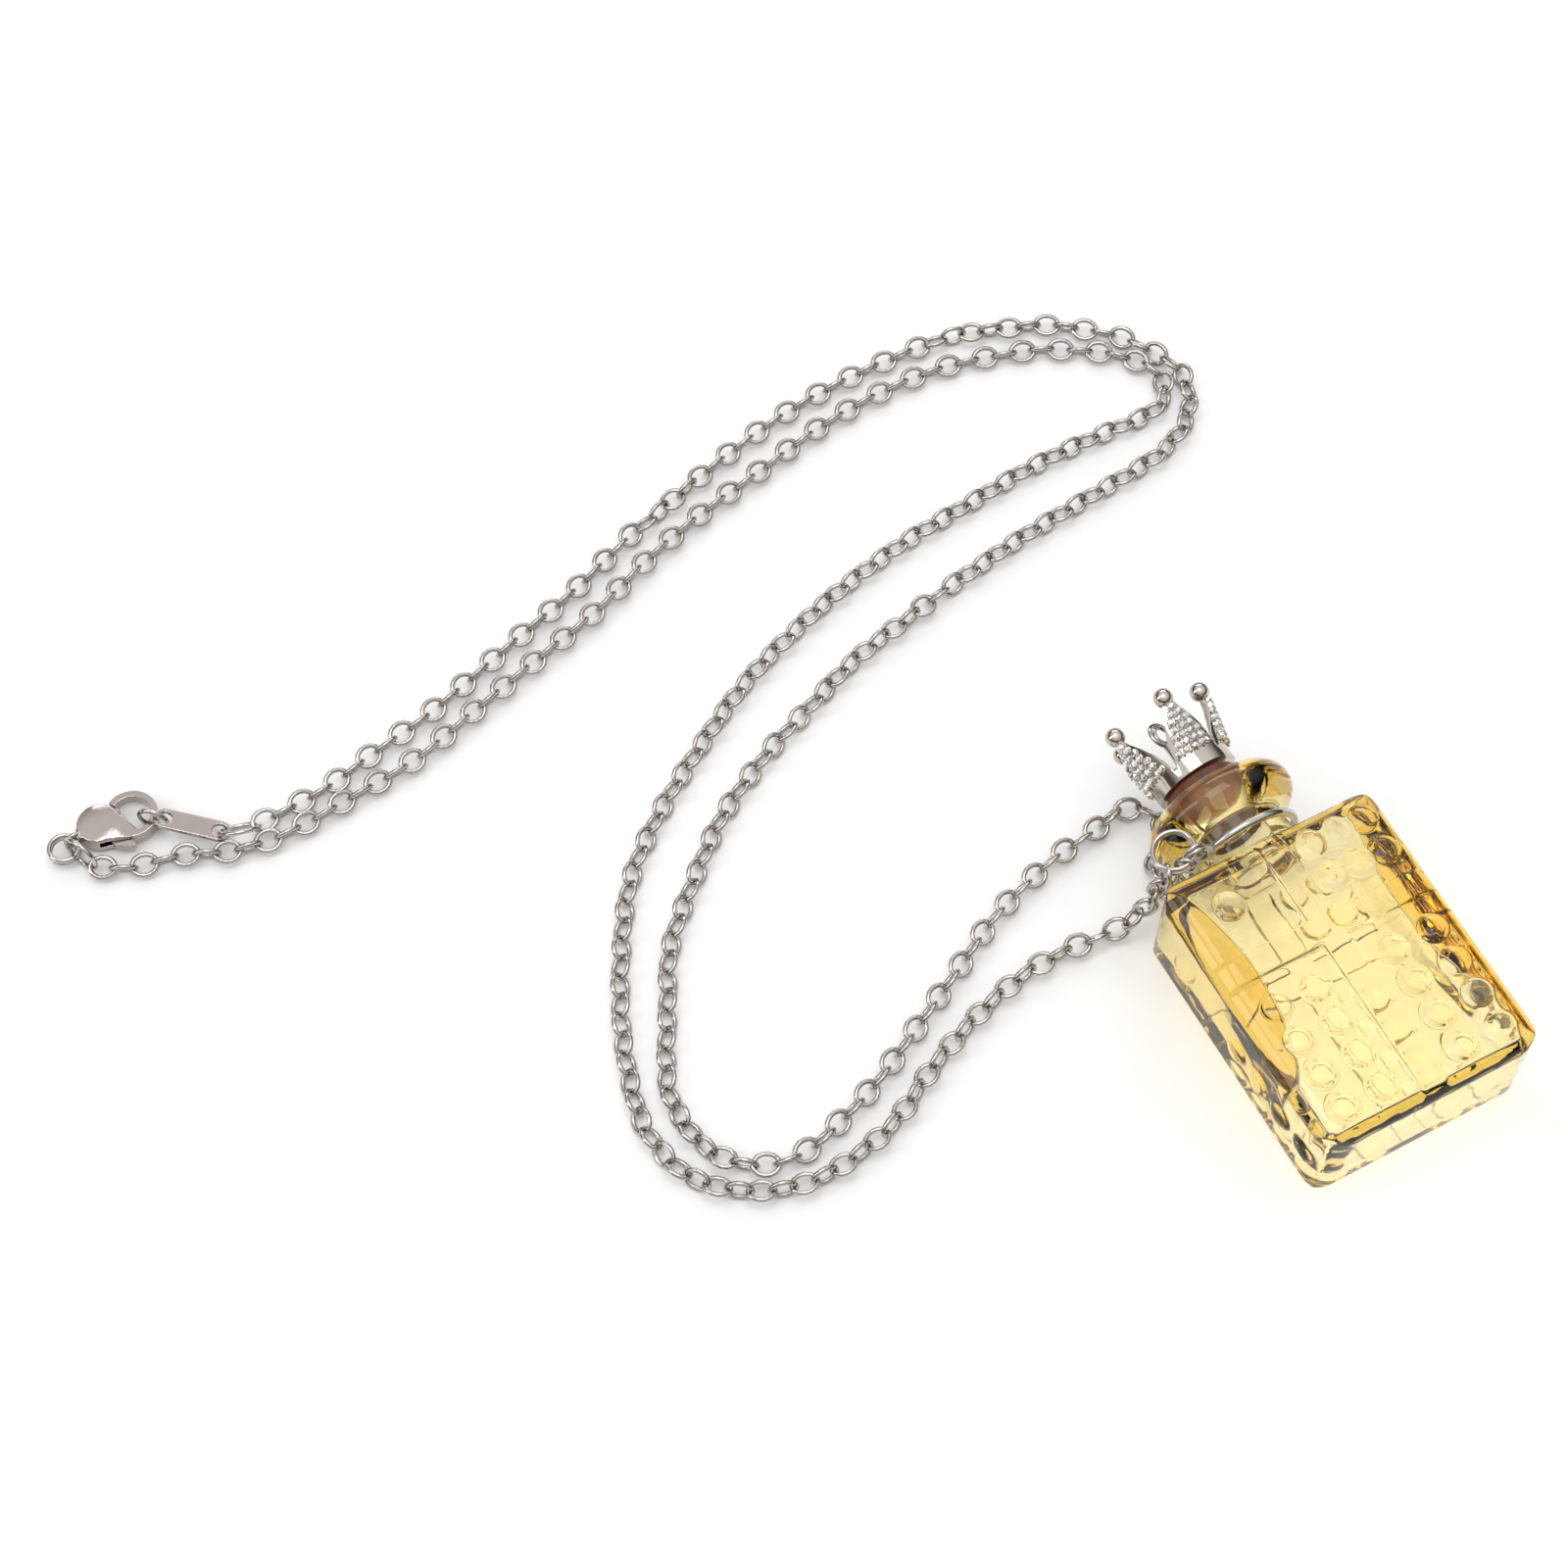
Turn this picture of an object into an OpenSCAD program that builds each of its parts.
// Bottle pendant: a small amber glass scent bottle with a crowned wooden stopper,
// lying on its back with its cable-chain necklace laid out beside it.
// Millimetres. X is across the bottle, Y runs from its base to its neck, Z is up,
// and the floor that everything rests on is z = 0.

/* [Glass bottle] */
// Width of the glass body
body_w = 25.6; // [22:0.1:29]
// Length of the glass body from base to shoulder
body_l = 32.2; // [29:0.1:36]
// Thickness of the glass body between its flat faces
body_t = 12.8; // [11:0.1:14]
// Radius of the body's rounded edges
body_round = 2; // [1:0.1:2.6]
// Radius of the body's four corners, seen from the front
body_corner = 3; // [2:0.1:4]
// Least thickness of the glass round the hollow
glass_wall = 1.8; // [1.2:0.1:2.6]
// How far the hollow's long sides are pinched in beside the ribbon's crossing
hollow_pinch = 2.6; // [1:0.1:3.5]
// Width of the moulded ribbon
ribbon_w = 2.8; // [1.8:0.1:3.4]
// Height of the moulded ribbon above the glass
ribbon_h = 0.5; // [0.3:0.05:0.55]
// Distance from the shoulder down to the middle of the ribbon's crossing
ribbon_drop = 12; // [10.4:0.1:13.6]
// Diameter of a moulded dot
dot_d = 3.1; // [2.4:0.1:3.4]
// Height of a moulded dot above the glass
dot_h = 0.6; // [0.4:0.05:0.8]
// Distance between neighbouring dots along the bottle
dot_step = 4; // [3.6:0.1:4.2]
// Distance from the shoulder down to the top row of dots
dot_drop = 3.3; // [2.8:0.1:4]

/* [Neck and lip] */
// Outer diameter of the neck
neck_d = 10.8; // [9.6:0.1:11.6]
// Length of the neck between shoulder and lip
neck_l = 3.9; // [3.4:0.1:5]
// Bore through the neck
bore_d = 6.8; // [5.8:0.1:7.2]
// Outer diameter of the ring-shaped lip
lip_d = 16.4; // [15.4:0.1:18]
// Thickness of the lip along the neck
lip_h = 4.7; // [3.8:0.1:5.2]
// Diameter of the seat that the lip holds the stopper in
seat_d = 8.3; // [7.6:0.1:8.8]
// Depth of the stopper's seat
seat_depth = 4.1; // [3.4:0.1:4.6]

/* [Stopper and crown] */
// Running clearance round the stopper, on the radius
stopper_fit = 0.08; // [0.04:0.01:0.1]
// Height of the stopper that stands out of the lip
stopper_out = 1.8; // [1.2:0.1:2.6]
// Outer diameter of the crown's band
crown_d = 9.2; // [8.6:0.1:10]
// Diameter of the circle that the crown's points reach
crown_top_d = 12; // [11:0.1:12.6]
// Height of the crown to the middle of its beads
crown_h = 8; // [7:0.1:9]
// Thickness of the crown's metal
crown_wall = 0.8; // [0.6:0.05:1]
// Height of the crown's plain band
band_h = 1.5; // [1:0.1:2]
// Diameter of the bead on each point
bead_d = 2; // [1.6:0.1:2.3]
// Diameter of a set stone
stone_d = 0.75; // [0.5:0.05:0.85]
// Height of a set stone
stone_h = 0.4; // [0.3:0.05:0.6]
// Thickness of the crown's floor
crown_floor = 0.6; // [0.4:0.05:0.8]
// Lean of the crown towards the bottle's front, in degrees
crown_lean = 4; // [0:0.5:6]
// Lean of the crown to the left, in degrees
crown_cant = 3; // [0:0.5:5]
// Outer diameter of the screw eye's ring
eye_d = 3.2; // [2.8:0.1:3.8]
// Wire of the screw eye
eye_wire = 0.5; // [0.4:0.05:0.7]
// Distance from the stopper's top to the middle of the screw eye
eye_reach = 7; // [5:0.1:7.6]
// How far the screw eye stands to the left of the stopper's axis
eye_shift = 0.5; // [0:0.1:1]

/* [Neck wire and rings] */
// Wire of the loop round the neck
loop_wire = 0.9; // [0.7:0.05:1.1]
// Play between the neck and its loop, on the radius
loop_play = 0.25; // [0.15:0.05:0.4]
// Outer diameter of the loop's small eye
loop_eye_d = 2.6; // [2.4:0.1:3]
// Outer diameter of the ring that joins both strands to the loop
join_ring_d = 4.8; // [4.6:0.1:5.4]
// Wire of the joining ring
join_ring_wire = 0.5; // [0.4:0.05:0.6]

/* [Chain] */
// Outer length of a chain link
link_l = 3.2; // [3:0.05:3.5]
// Outer width of a chain link
link_w = 2.7; // [2.5:0.05:2.9]
// Wire of a chain link
link_wire = 0.42; // [0.38:0.02:0.48]
// Clearance between neighbouring links
link_gap = 0.16; // [0.1:0.01:0.2]

/* [Clasp and tag] */
// Outer diameter of the clasp's hook
hook_d = 5.6; // [5.2:0.1:6.2]
// Width of the hook's band, across the clasp
hook_band = 0.75; // [0.6:0.05:0.9]
// Height of the hook, through the clasp
hook_h = 1.4; // [1.2:0.1:1.6]
// Width of the clasp's body
clasp_w = 4.6; // [4.2:0.1:5]
// Thickness of the clasp's body
clasp_t = 2.6; // [2.2:0.1:3]
// Thickness of the clasp's lever
lever_t = 0.8; // [0.6:0.05:1]
// Diameter of the lever's pin
pin_d = 0.7; // [0.5:0.05:0.8]
// Clearance round the lever and its pin
lever_fit = 0.06; // [0.04:0.01:0.08]
// Length of the oval tag
tag_l = 8.4; // [7.6:0.1:9]
// Width of the oval tag
tag_w = 2.5; // [2.2:0.1:2.8]
// Thickness of the oval tag
tag_t = 0.5; // [0.4:0.05:0.7]
// Diameter of the holes in the tag
tag_hole = 1.6; // [1.5:0.05:1.7]
// Outer diameter of the ring between tag and chain
tag_ring_d = 4.8; // [4.6:0.1:5]
// Outer diameter of the ring between tag and clasp
hook_ring_d = 3.6; // [3.5:0.1:3.8]
// Outer diameter of the ring between the chain and the clasp's tail
chain_ring_d = 4.6; // [4.4:0.1:4.8]
// Outer diameter of the two small rings on the clasp's tail
tail_ring_d = 3.6; // [3.4:0.1:4]
// Wire of the rings at the clasp
ring_wire = 0.5; // [0.4:0.05:0.55]

/* [Hidden] */
$fn = 48;
rest_gap = 0.04;
stand_off = 0.06;

// Brings the origin under the middle of the whole piece
middle_x = 0.33;
middle_y = 0.49;

// Where the bottle lies on the floor plan: its shoulder stays put, and its base follows its length
bottle_x = 38;
shoulder_y = -24;
bottle_y = shoulder_y - body_l;
ribbon_y = body_l - ribbon_drop;

// Dots sit in columns either side of the ribbon, and in rows up from the base
dot_column = body_w * 0.18;
dot_row = body_l * 0.1;
dot_r = dot_d * dot_d / 4 / dot_h;

// Lip and neck, measured along the bottle from its base
lip_y = body_l + neck_l + lip_h / 2;
lip_top = lip_y + lip_h / 2;
stopper_top = lip_top + stopper_out;
loop_y = body_l + neck_l / 2;

// The bottle rests on its lowest row of dots and on the lip, which tips its neck up
rest_dot_z = -(body_t / 2 + dot_h - dot_r);
rest_lip_z = -(lip_d - lip_h) / 2;
rest_run = norm([lip_y - dot_row, rest_lip_z - rest_dot_z]);
tilt = asin((lip_h / 2 - dot_r) / rest_run) - atan2(rest_lip_z - rest_dot_z, lip_y - dot_row);
bottle_z = dot_r - dot_row * sin(tilt) - rest_dot_z * cos(tilt) + rest_gap;

// The loop hangs on the top of the neck, and its eye stands out at this angle
loop_r = neck_d / 2 + loop_play + loop_wire / 2;
loop_drop = loop_play - 0.1;
eye_angle = 142;
loop_eye_r = (loop_eye_d - loop_wire * 0.8) / 2;
loop_eye_out = loop_r + loop_wire / 2 + loop_eye_r + 0.9;

// Link sizes on the wire's centreline, and the chain's pitch
link_a = (link_l - link_wire) / 2;
link_b = (link_w - link_wire) / 2;
pitch = link_l - 2 * link_wire - link_gap;
link_sides = 10;
wire_sides = 5;
end_gap = 0.9;

// Clasp: the height of its middle, and its hook's radius
clasp_z = clasp_t / 2 + rest_gap;
hook_r = hook_d / 2;

// Chosen points of the strand that ends at the tag: x, y, lift above the floor, roll of the links
tag_route = [
    [-49.2, 33.3, 0, 20], [-44.5, 33.5, 0, 25], [-40, 34, 0, 25], [-36, 35, 0, 25],
    [-31.5, 36, 0, 25], [-27, 37, 0, 25], [-19, 39.5, 0, 22], [-14.5, 41, 0, 20],
    [-6.5, 43.5, 0, 20], [2, 47, 0, 30], [5.5, 48, 0, 60], [8.5, 49, 0, 90], [16.5, 51.5, 0, 115],
    [25, 53.5, 0, 115], [34, 54.5, 0, 115], [42.5, 54.5, 0, 115], [46, 54.3, 0, 150],
    [49.5, 53.5, 0, 180], [57.5, 50.5, 0, 205], [61, 48, 0, 205], [64.5, 45, 0, 220],
    [67, 41, 0, 225], [68.2, 37, 0, 225], [67, 33.5, 0, 225], [65, 31, 0, 220], [61.5, 29, 0, 205],
    [57.5, 28, 0, 205], [48.5, 27, 0, 205], [40, 26, 0, 205], [31.5, 24.5, 0, 205],
    [28, 23.9, 0, 240], [25, 23, 0, 270], [16.5, 21, 0, 290], [9, 18, 0, 310], [3, 15.5, 0, 315],
    [-5, 11, 0, 315], [-11.5, 5.5, 0, 315], [-17.5, -0.5, 0, 315], [-21, -6.5, 0, 315],
    [-25, -14, 0, 315], [-25.6, -18, 0, 320], [-25.2, -21.6, 0, 335], [-23.5, -24.8, 0, 355],
    [-20.6, -26.9, 0, 375], [-16.5, -27.5, 0, 388], [-12.5, -26.5, 0, 390], [-7, -24.5, 0, 385],
    [-1, -21.5, 0, 385], [6.5, -17.5, 0, 385], [14, -13.5, 0, 385], [22, -10.8, 0, 385],
    [26, -10.1, 0, 385], [28.4, -9.7, 0, 385], [29.4, -9.65, 0, 385], [31.4, -8.9, 0, 397],
    [34, -10.1, 0, 397], [34.7, -12.8, 0, 397], [33.1, -15.1, 0, 397], [31.3, -16.3, 0, 393],
    [31.1, -18, 0.1, 389], [30.6, -19.8, 0.8, 389], [30, -21, 2.5, 389], [30, -21.6, 4.6, 389],
    [30, -21.9, 6.9, 389], [30, -22.2, 9.2, 389], [30.2, -22.9, 12.1, 389]];

// Chosen points of the strand that ends at the clasp's tail, in the same order
clasp_route = [
    [-66.3, 36.9, 0, 20], [-65.2, 36.2, 0, 20], [-63, 35, 0, 25], [-61, 34.4, 0, 25], [-59, 34.1, 0, 25],
    [-56.5, 33.3, 0, 20], [-53, 31.7, 0, 15], [-48.5, 30.9, 0, 20], [-44, 31, 0, 25],
    [-39.5, 31.5, 0, 25], [-31, 32.5, 0, 25], [-22.5, 35, 0, 22], [-14, 37.5, 0, 20],
    [-5.5, 40, 0, 20], [3, 43.5, 0, 20], [11, 46, 0, 22], [19.5, 48, 0, 25], [28, 50, 0, 25],
    [37, 51, 0, 25], [45.5, 50.5, 0, 28], [54.5, 48, 0, 30], [58, 46.2, 0, 30], [62, 43.5, 0, 30],
    [64.7, 40.5, 0, 30], [65.7, 37.8, 0, 30], [65, 35.4, 0, 30], [62.8, 34, 0, 28], [60, 33.7, 0, 26],
    [55, 33.9, 0, 26], [46.5, 33.8, 0, 25], [37.5, 32.8, 0, 25], [29, 31.8, 0, 25], [20, 29.8, 0, 22],
    [12, 27.2, 0, 22], [4, 23.8, 0, 25], [-4, 19, 0, 35], [-11, 14.3, 0, 45], [-17.5, 8.5, 0, 45],
    [-22.5, 1, 0, 45], [-26.5, -7, 0, 45], [-29, -15, 0, 45], [-29.2, -19.5, 0, 50],
    [-28, -24, 0, 60], [-25, -27.5, 0, 75], [-21, -29.8, 0, 80], [-17, -30.7, 0, 80],
    [-12.5, -30.4, 0, 78], [-7, -29, 0, 75], [-0.5, -25.5, 0, 75], [6.5, -22.6, 0, 78],
    [12.5, -21, 0, 85], [17, -20.6, 0, 95], [21, -20.8, 0.1, 115],
    [23.8, -21.2, 0.8, 135], [25.8, -21.6, 2.4, 155], [27, -21.9, 4.8, 170],
    [27.3, -22.1, 6.9, 180], [27.8, -22.3, 9.2, 180],
    [28.1, -22.4, 11.2, 180]];

// The clasp lies beside the start of its strand: the middle of its hook on the floor plan
clasp_x = clasp_route[0][0] + 6.1;
clasp_y = clasp_route[0][1] + 3.6;

// A smooth curve through chosen points, in short steps
function between(a, b, c, d, t) =
    0.5 * (2 * b + (c - a) * t + (2 * a - 5 * b + 4 * c - d) * t * t + (3 * b - a - 3 * c + d) * t * t * t);
route_steps = 4;
function smooth(p) = concat(
    [for (i = [0 : len(p) - 2], j = [0 : route_steps - 1])
        between(p[max(i - 1, 0)], p[i], p[i + 1], p[min(i + 2, len(p) - 1)], j / route_steps)],
    [p[len(p) - 1]]);

// The height of the chain's middle, from the roll of its links
function rest_height(roll) = link_b * max(abs(sin(roll)), abs(cos(roll))) + link_wire / 2 + rest_gap;
function raised(p) = [for (q = p) [q[0], q[1], q[2] + rest_height(q[3]), q[3]]];
function place_of(q) = [q[0], q[1], q[2]];

// Length along a curve at each of its points, and the place and roll at a length
function lengths(c) = [for (i = 0, s = 0; i < len(c);
    s = s + (i + 1 < len(c) ? norm(place_of(c[i + 1]) - place_of(c[i])) : 0), i = i + 1) s];
function column(c, run, k) = [for (i = [0 : len(c) - 1]) [run[i], c[i][k]]];
function table(c) = let (run = lengths(c)) [for (k = [0 : 3]) column(c, run, k)];
function whole(t) = t[0][len(t[0]) - 1][0];
function at(t, s) = [for (k = [0 : 2]) lookup(s, t[k])];

tag_table = table(smooth(raised(tag_route)));
clasp_table = table(smooth(raised(clasp_route)));
tag_links = round(whole(tag_table) / pitch);
tag_pitch = whole(tag_table) / tag_links;

// One faceted link: round wire bent to an oval, its plane rolled about the chain's run
module link(t, s, roll) {
    ahead = at(t, s + pitch / 2);
    back = at(t, s - pitch / 2);
    along = (ahead - back) / norm(ahead - back);
    side = cross([0, 0, 1], along) / norm(cross([0, 0, 1], along));
    up = cross(along, side);
    across = side * cos(roll) + up * sin(roll);
    flat = cross(along, across);
    points = [for (i = [0 : link_sides - 1], j = [0 : wire_sides - 1])
        let (bend = 360 * (i + 0.5) / link_sides, ring = 360 * (j + 0.5) / wire_sides,
            out = link_wire / 2 * cos(ring))
        at(t, s) + along * (link_a + out) * cos(bend) / cos(180 / link_sides)
            + across * (link_b + out) * sin(bend)
            + flat * link_wire / 2 * sin(ring)];
    faces = [for (i = [0 : link_sides - 1], j = [0 : wire_sides - 1])
        let (n = (i + 1) % link_sides, m = (j + 1) % wire_sides)
        [i * wire_sides + j, i * wire_sides + m, n * wire_sides + m, n * wire_sides + j]];
    polyhedron(points, faces, convexity = 4);
}

// A run of links, every second one turned a quarter
module links(t, step, first, last) {
    for (i = [first : last])
        link(t, (i + 0.5) * step, lookup((i + 0.5) * step, t[3]) + 90 * (i % 2));
}

// A tube swept through a curve's chosen points, which stands for a strand of fine links
module swept(t, radius, sides = 5) {
    stops = [for (i = [0 : route_steps : len(t[0]) - 1]) min(max(t[0][i][0], end_gap), whole(t) - end_gap)];
    count = len(stops);
    points = [for (s = stops)
        let (along = at(t, s + 0.2) - at(t, s - 0.2),
            side = cross([0, 0, 1], along) / norm(cross([0, 0, 1], along)),
            up = cross(along / norm(along), side))
        for (a = [0 : 360 / sides : 359]) at(t, s) + radius * (side * cos(a) + up * sin(a))];
    walls = [for (i = [0 : count - 2], j = [0 : sides - 1])
        let (m = (j + 1) % sides)
        [i * sides + j, (i + 1) * sides + j, (i + 1) * sides + m, i * sides + m]];
    ends = [[for (j = [0 : sides - 1]) j], [for (j = [sides - 1 : -1 : 0]) (count - 1) * sides + j]];
    polyhedron(points, concat(walls, ends), convexity = 10);
}

module ring(outer, wire) {
    rotate_extrude() translate([(outer - wire) / 2, 0]) circle(d = wire, $fn = 24);
}

module laid_out() {
    translate([middle_x, middle_y, 0]) children();
}

// From the bottle's own frame, with its axis along Y, to where it lies
module lie() {
    laid_out() translate([bottle_x, bottle_y, bottle_z]) rotate([tilt, 0, 0]) children();
}

// From a frame with its axis along Z to the bottle's axis, at a distance from the base
module on_axis(y) {
    lie() translate([0, y, 0]) rotate([-90, 0, 0]) children();
}

module rounded_plate(w, h, r) {
    square([w - 2 * r, h], center = true);
    square([w, h - 2 * r], center = true);
    for (x = [-1, 1], y = [-1, 1]) translate([x * (w / 2 - r), y * (h / 2 - r)]) circle(r = r);
}

// A block with rounded edges, centred, made where three rounded bars cross
module rounded_block(w, l, t, r, corner) {
    intersection() {
        linear_extrude(t, center = true) rounded_plate(w, l, corner);
        rotate([90, 0, 0]) linear_extrude(l + 1, center = true) rounded_plate(w, t, r);
        rotate([90, 0, 90]) linear_extrude(w + 1, center = true) rounded_plate(l, t, r);
    }
}

// Ribbon bands on both faces, one along the block and one across, which end flush at its edges
module ribbon() {
    intersection() {
        rounded_block(body_w - 0.1, body_l - 0.1, body_t + 2 * ribbon_h, body_round + ribbon_h, body_corner);
        union() {
            cube([ribbon_w, body_l + 4, body_t + 4], center = true);
            translate([0, ribbon_y - body_l / 2, 0]) cube([body_w + 4, ribbon_w, body_t + 4], center = true);
        }
    }
}

// A dot is half of a flattened ball, so that its rim rises steeply from the glass
module dot(x, y, z, turn) {
    translate([x, y, 0]) rotate([0, turn, 0]) translate([0, 0, z])
        scale([1, 1, 2 * dot_h / dot_d]) sphere(d = dot_d);
}

// Dots on the front and back faces and on the two sides
module dots() {
    for (turn = [0, 180]) {
        for (row = [0 : 3], x = [-2, -1, 1, 2])
            dot(x * dot_column, dot_row + row * dot_step, body_t / 2, turn);
        for (row = [0, 1], x = [0.8, 1.5, 2.15])
            dot(x * dot_column, body_l - dot_drop - row * dot_step, body_t / 2, turn);
        dot(-1.6 * dot_column, body_l - dot_drop - dot_step / 2, body_t / 2, turn);
    }
    for (turn = [90, 270], row = [0 : 3]) dot(0, dot_row + row * dot_step, body_w / 2, turn);
}

// The hollow: a pillow with pinched long sides, open to the neck
module hollow() {
    hollow_w = body_w - 2 * glass_wall;
    hollow_l = body_l - 2 * glass_wall;
    bow = hollow_l * 1.1;
    linear_extrude(body_t - 2 * glass_wall, center = true) difference() {
        square([hollow_w, hollow_l], center = true);
        for (x = [-1, 1]) translate([x * (hollow_w / 2 - hollow_pinch + bow), ribbon_y - body_l / 2])
            circle(r = bow, $fn = 180);
    }
}

module bottle() color([0.92, 0.78, 0.42, 0.6]) lie() {
    difference() {
        union() {
            translate([0, body_l / 2, 0]) {
                rounded_block(body_w, body_l, body_t, body_round, body_corner);
                ribbon();
            }
            dots();
            translate([0, body_l - 1, 0]) rotate([-90, 0, 0]) cylinder(d = neck_d, h = neck_l + 2);
            translate([0, lip_y, 0]) rotate([-90, 0, 0]) rotate_extrude() {
                translate([0, -lip_h / 2]) square([(lip_d - lip_h) / 2, lip_h]);
                translate([(lip_d - lip_h) / 2, 0]) circle(d = lip_h);
            }
        }
        translate([0, body_l / 2, 0]) hollow();
        translate([0, body_l - glass_wall - 1, 0]) rotate([-90, 0, 0])
            cylinder(d = bore_d, h = neck_l + lip_h + 8);
        translate([0, lip_top - seat_depth, 0]) rotate([-90, 0, 0]) cylinder(d = seat_d, h = seat_depth + 1);
    }
}

module stopper() color([0.55, 0.33, 0.18]) on_axis(lip_top - seat_depth + 0.1) difference() {
    cylinder(d = seat_d - 2 * stopper_fit, h = seat_depth - 0.1 + stopper_out);
    translate([-eye_shift, 0, seat_depth + stopper_out - 3]) cylinder(d = eye_wire * 2 + 0.1, h = 4);
}

// The crown's own frame stands on the stopper's top, leaning a little to the front
module on_stopper() {
    on_axis(stopper_top + crown_d / 2 * sin(norm([crown_lean, crown_cant])) + stand_off)
        rotate([crown_lean, -crown_cant, 0]) children();
}

// The gap between two points, as seen from outside: how wide it is at each share of the height
point_gaps = [[0.17, 0.04], [0.25, 0.07], [0.38, 0.1], [0.5, 0.15], [0.65, 0.24], [0.8, 0.35], [0.95, 0.43],
    [1.1, 0.46]];
point_step = 360 / 5;
first_point = -90;
flare = atan2((crown_top_d - crown_d) / 2, crown_h - band_h);

module crown() color([0.78, 0.78, 0.78]) on_stopper() {
    side = crown_top_d * sin(point_step / 2);
    difference() {
        rotate_extrude() polygon([[eye_wire * 1.6 + eye_shift, 0], [crown_d / 2, 0], [crown_d / 2, band_h],
            [crown_top_d / 2, crown_h], [crown_top_d / 2 - crown_wall, crown_h],
            [crown_d / 2 - crown_wall, band_h], [crown_d / 2 - crown_wall, crown_floor],
            [eye_wire * 1.6 + eye_shift, crown_floor]]);
        for (k = [0 : 4]) rotate([0, 0, first_point + point_step * (k + 0.5)])
            translate([1, 0, 0]) rotate([90, 0, 90]) linear_extrude(crown_d)
                polygon(concat([for (g = point_gaps) [g[1] * side, g[0] * crown_h]],
                    [for (i = [len(point_gaps) - 1 : -1 : 0])
                        [-point_gaps[i][1] * side, point_gaps[i][0] * crown_h]]));
    }
    for (k = [0 : 4]) rotate([0, 0, first_point + point_step * k])
        translate([(crown_top_d - crown_wall) / 2, 0, crown_h]) sphere(d = bead_d, $fn = 32);
}

// Rows of stones up each point: share of the crown's height, and how many sit in the row
stone_rows = [[0.27, 4], [0.4, 3], [0.52, 3], [0.63, 2], [0.73, 2], [0.83, 1]];

module crown_stones() color([0.93, 0.93, 0.95]) on_stopper() {
    for (k = [0 : 4], row = stone_rows, i = [0 : row[1] - 1]) {
        up = row[0] * crown_h - band_h;
        radius = crown_d / 2 + up * tan(flare);
        spread = (i - (row[1] - 1) / 2) * stone_d * 4 / 3 / radius * 180 / PI;
        rotate([0, 0, first_point + point_step * k + spread]) translate([radius, 0, row[0] * crown_h])
            rotate([0, 90 + flare, 0]) translate([0, 0, stand_off])
                cylinder(d = stone_d, h = stone_h, $fn = 8);
    }
}

module screw_eye() color([0.78, 0.78, 0.78]) on_axis(stopper_top) translate([-eye_shift, 0, 0]) {
    translate([0, 0, eye_reach]) rotate([90, 0, 30]) ring(eye_d, eye_wire);
    translate([0, 0, -2.5]) cylinder(d = eye_wire * 2, h = eye_reach - eye_d / 2 + 2.5 + eye_wire * 0.6);
}

// The wire round the neck, its two ends wrapped into a stem, and the stem's small eye
module neck_wire() color([0.8, 0.8, 0.8]) on_axis(loop_y) translate([0, loop_drop, 0]) {
    ring(2 * loop_r + loop_wire, loop_wire);
    rotate([0, 0, -eye_angle]) {
        translate([loop_r - loop_wire / 2, 0, 0]) rotate([0, 90, 0])
            cylinder(d = loop_wire, h = loop_wire + 0.9);
        for (k = [0 : 2]) translate([loop_r + loop_wire * (0.15 + 0.42 * k), 0, 0])
            rotate([0, 90, 0]) ring(loop_wire * 1.86, loop_wire * 0.5);
        translate([loop_eye_out, 0, 0]) ring(loop_eye_d, loop_wire * 0.8);
    }
}

// The joining ring hangs in the loop's eye, to the left, a little down and towards the lip
join_r = (join_ring_d - join_ring_wire) / 2;
join_slip = 1.25;
join_fall = 12;
loop_eye = [loop_eye_out * cos(eye_angle), loop_y, loop_eye_out * sin(eye_angle) - loop_drop];

module joining_ring() color([0.8, 0.8, 0.8]) lie() translate(loop_eye) rotate([0, -join_fall, 0])
    translate([-sqrt(pow(join_r, 2) - pow(join_slip, 2)), join_slip, 0]) ring(join_ring_d, join_ring_wire);

module tag_chain_near_clasp() color([0.76, 0.76, 0.76]) laid_out()
    links(tag_table, tag_pitch, 0, floor(tag_links / 2) - 1);

module tag_chain_near_bottle() color([0.76, 0.76, 0.76]) laid_out()
    links(tag_table, tag_pitch, floor(tag_links / 2), tag_links - 1);

module clasp_chain() color([0.76, 0.76, 0.76]) laid_out()
    swept(clasp_table, link_w / 2 - 0.35);

// From the clasp's own frame, with the hook's middle at its origin, to where it lies
module at_clasp() {
    laid_out() translate([clasp_x, clasp_y, clasp_z]) children();
}

heart_at = [-hook_r * 1.27, 0.4];
pin_at = heart_at + [0.3, -0.2];
lug_d = 2 * ring_wire + 1.4;
lug_at = [heart_at[0] - clasp_w / 2 - lug_d * 0.23, 0.3];

// Plan of the clasp's body: a heart that runs into the hook on one side and to the tail
module heart() {
    translate(heart_at) circle(d = clasp_w);
    polygon([heart_at + [-clasp_w * 0.2, clasp_w * 0.45], heart_at + [-clasp_w * 0.2, -clasp_w * 0.45],
        [lug_at[0] + 0.4, lug_at[1] - 0.5], [lug_at[0] + 0.4, lug_at[1] + 0.5]]);
    polygon([heart_at + [0, -clasp_w / 2], heart_at + [0, clasp_w / 2], [-hook_r * 0.76, hook_r * 0.78],
        [-hook_r * 0.5, hook_r * 0.3], [-hook_r * 0.12, -hook_r * 0.6], [0, -hook_r],
        [-hook_r * 0.45, -hook_r * 0.95]]);
}

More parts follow.
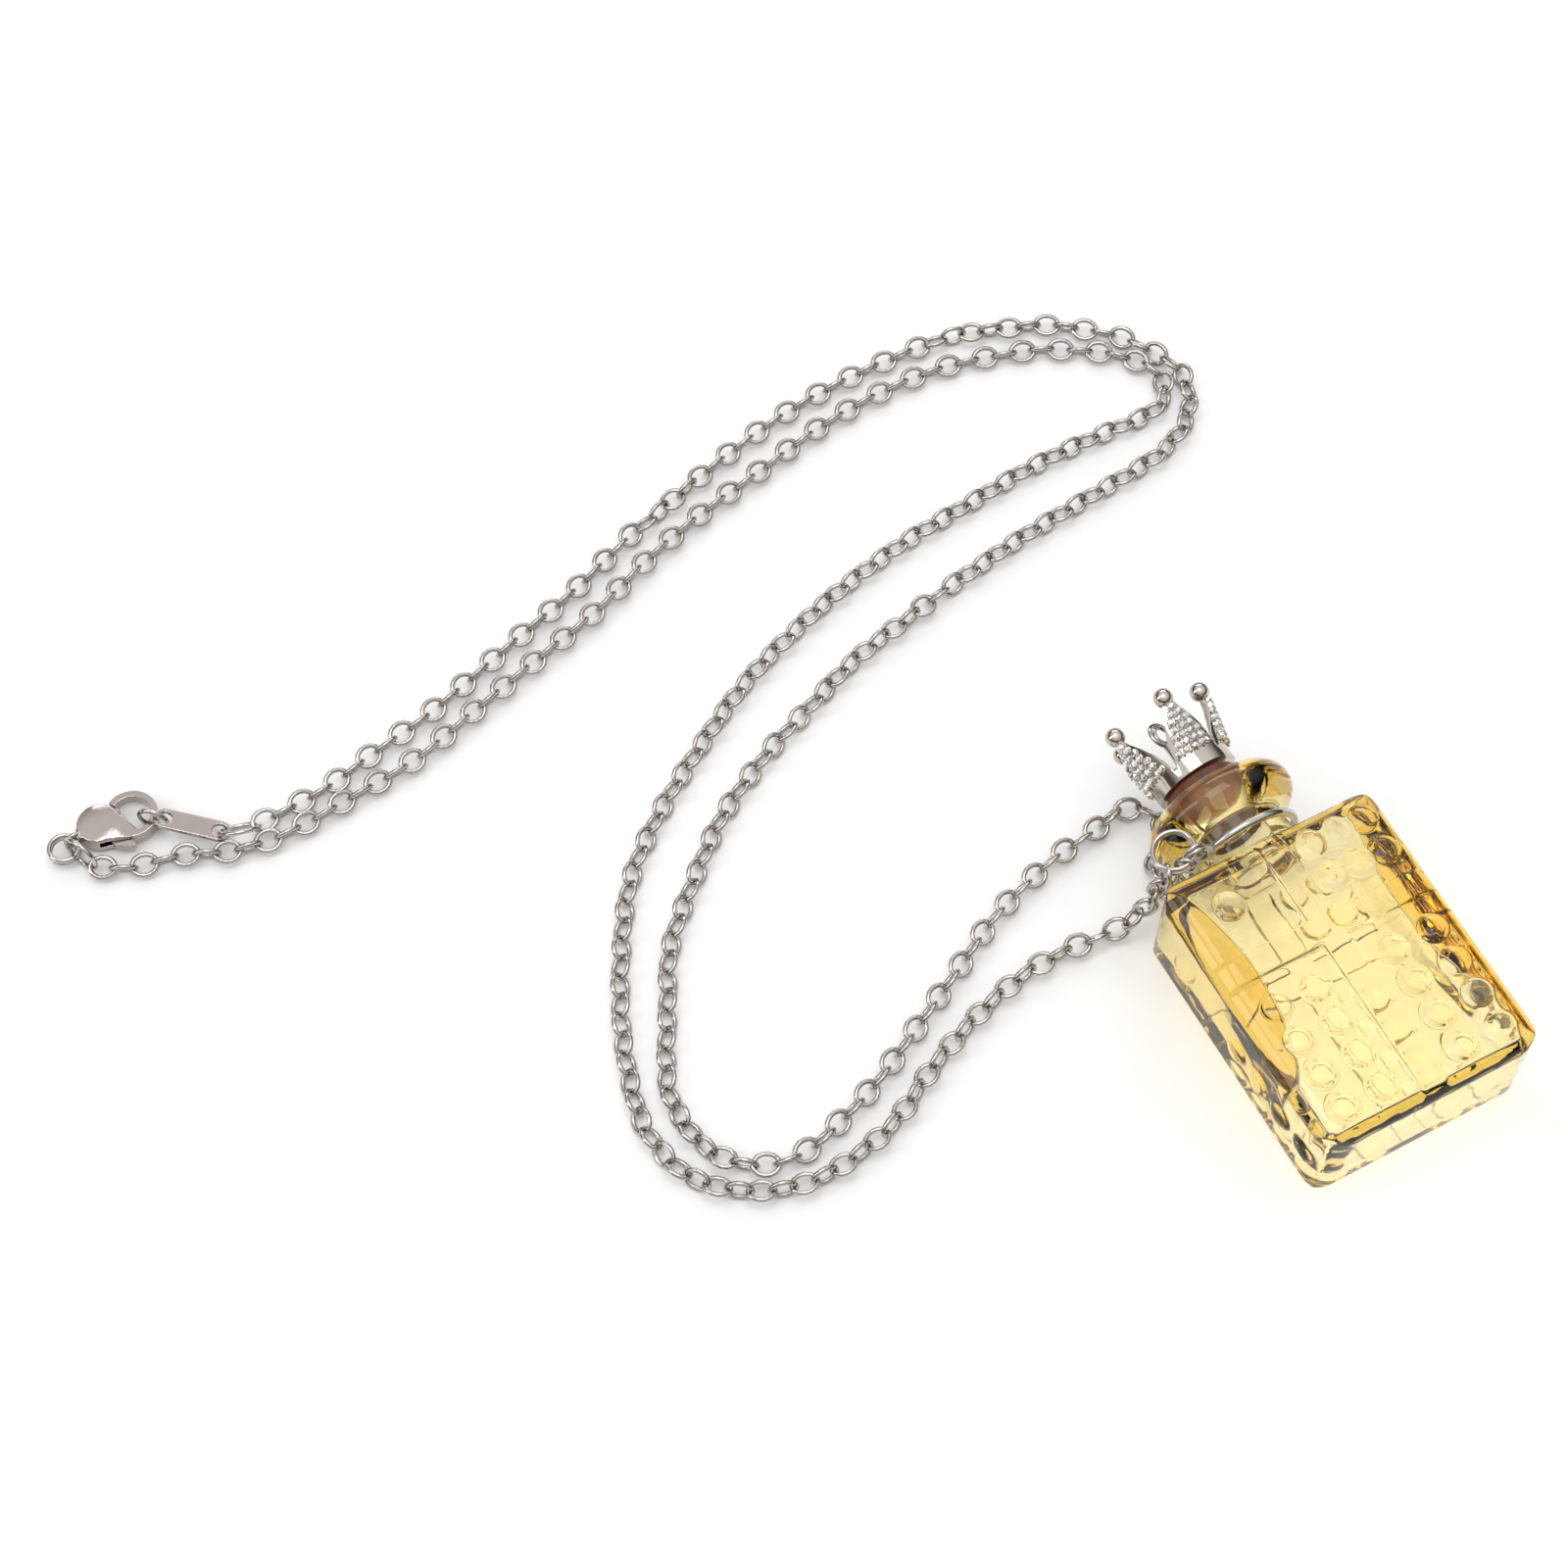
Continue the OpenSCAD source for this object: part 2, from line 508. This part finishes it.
// The heart with domed faces, less the room for the lever, with the lever's pin across it
module clasp_heart() {
    dome = clasp_w * 2.2;
    difference() {
        intersection() {
            linear_extrude(clasp_t, center = true) heart();
            translate([heart_at[0] + 0.4, 0, dome - clasp_t / 2]) sphere(r = dome);
            translate([heart_at[0] + 0.4, 0, clasp_t / 2 - dome]) sphere(r = dome);
        }
        translate([0, 0, -lever_t / 2 - lever_fit]) linear_extrude(lever_t + 2 * lever_fit) {
            translate(pin_at + [-1.1, -0.9]) square([6, 6]);
            translate(pin_at + [-1.1, -6]) square([6, 6.1]);
        }
    }
    translate([pin_at[0], pin_at[1], -clasp_t * 0.36]) cylinder(d = pin_d, h = clasp_t * 0.72);
}

module clasp_body() color([0.72, 0.70, 0.69]) at_clasp() {
    clasp_heart();
    difference() {
        cylinder(r = hook_r, h = hook_h, center = true);
        cylinder(r = hook_r - hook_band, h = hook_h + 1, center = true);
        linear_extrude(hook_h + 1, center = true)
            polygon([[0, 0], 3 * hook_r * [cos(126), sin(126)], 3 * hook_r * [cos(180), sin(180)],
                3 * hook_r * [cos(240), sin(240)]]);
    }
    translate([lug_at[0], lug_at[1], 0]) rotate([90, 0, 0]) ring(lug_d, ring_wire);
}

// A flat lever on the pin: its gate closes the hook's mouth, its tab is for the thumb
gate_end = (hook_r - hook_band - lever_fit - 0.35) * [cos(130), sin(130)];

module clasp_lever() color([0.76, 0.75, 0.74]) at_clasp() difference() {
    union() {
        translate([pin_at[0], pin_at[1], 0]) cylinder(d = 1.5, h = lever_t, center = true);
        linear_extrude(lever_t, center = true)
            polygon([pin_at + [-0.2, 0.6], pin_at + [0.1, -0.6], gate_end + [0.15, -0.25], gate_end + [0.2, 0.2],
                gate_end + [-0.1, 0.3]]);
        linear_extrude(lever_t, center = true)
            polygon([pin_at + [-0.6, 0.2], pin_at + [0.65, 0.15], pin_at + [1.15, -2.1], pin_at + [2.2, -3.2],
                pin_at + [2.3, -3.7], pin_at + [1.8, -3.75], pin_at + [0.3, -2.9]]);
    }
    translate([pin_at[0], pin_at[1], 0]) cylinder(d = pin_d + 2 * lever_fit, h = clasp_t, center = true);
}

// Two rings stacked through the clasp's tail, and the upright ring that the chain ends on
tail_r = (tail_ring_d - ring_wire) / 2;
stack_step = ring_wire + 0.12;

module tail_rings() color([0.72, 0.72, 0.72]) at_clasp()
    for (k = [-0.5, 0.5]) translate([lug_at[0] - tail_r * 0.93, lug_at[1] - tail_r * 0.37, k * stack_step])
        ring(tail_ring_d, ring_wire);

module clasp_chain_ring() color([0.78, 0.78, 0.78]) laid_out()
    translate([clasp_x - 6.6, clasp_y - 2.2, chain_ring_d / 2 + rest_gap])
        rotate([0, 0, -65]) rotate([90, 0, 0])
        ring(chain_ring_d, ring_wire);

module tag() color([0.74, 0.74, 0.74]) laid_out()
    translate([clasp_x + 2.8, clasp_y - 2.55, 2.4]) rotate([0, 0, -39]) rotate([-8, 8, 0]) difference() {
        linear_extrude(tag_t, center = true) {
            translate([0, -tag_w / 2]) square([tag_l - tag_w, tag_w]);
            for (x = [0, 1]) translate([x * (tag_l - tag_w), 0]) circle(d = tag_w);
        }
        for (x = [0, 1]) translate([x * (tag_l - tag_w), 0, 0]) cylinder(d = tag_hole, h = 2, center = true);
    }

// The small ring goes round the hook and through the tag
module hook_ring() color([0.78, 0.78, 0.78]) at_clasp()
    rotate([0, 0, -43]) translate([hook_r - hook_band / 2, 0, hook_ring_d / 2 + rest_gap - clasp_z])
        rotate([90, 0, 0]) ring(hook_ring_d, ring_wire);

module tag_ring() color([0.78, 0.78, 0.78]) laid_out()
    translate([clasp_x + 9.25, clasp_y - 7.2, 1.91])
        rotate([0, 0, -16]) rotate([-50, 0, 0]) ring(tag_ring_d, ring_wire);

bottle();
stopper();
crown();
crown_stones();
screw_eye();
neck_wire();
joining_ring();
tag_chain_near_clasp();
tag_chain_near_bottle();
clasp_chain();
clasp_body();
clasp_lever();
tail_rings();
clasp_chain_ring();
tag();
hook_ring();
tag_ring();
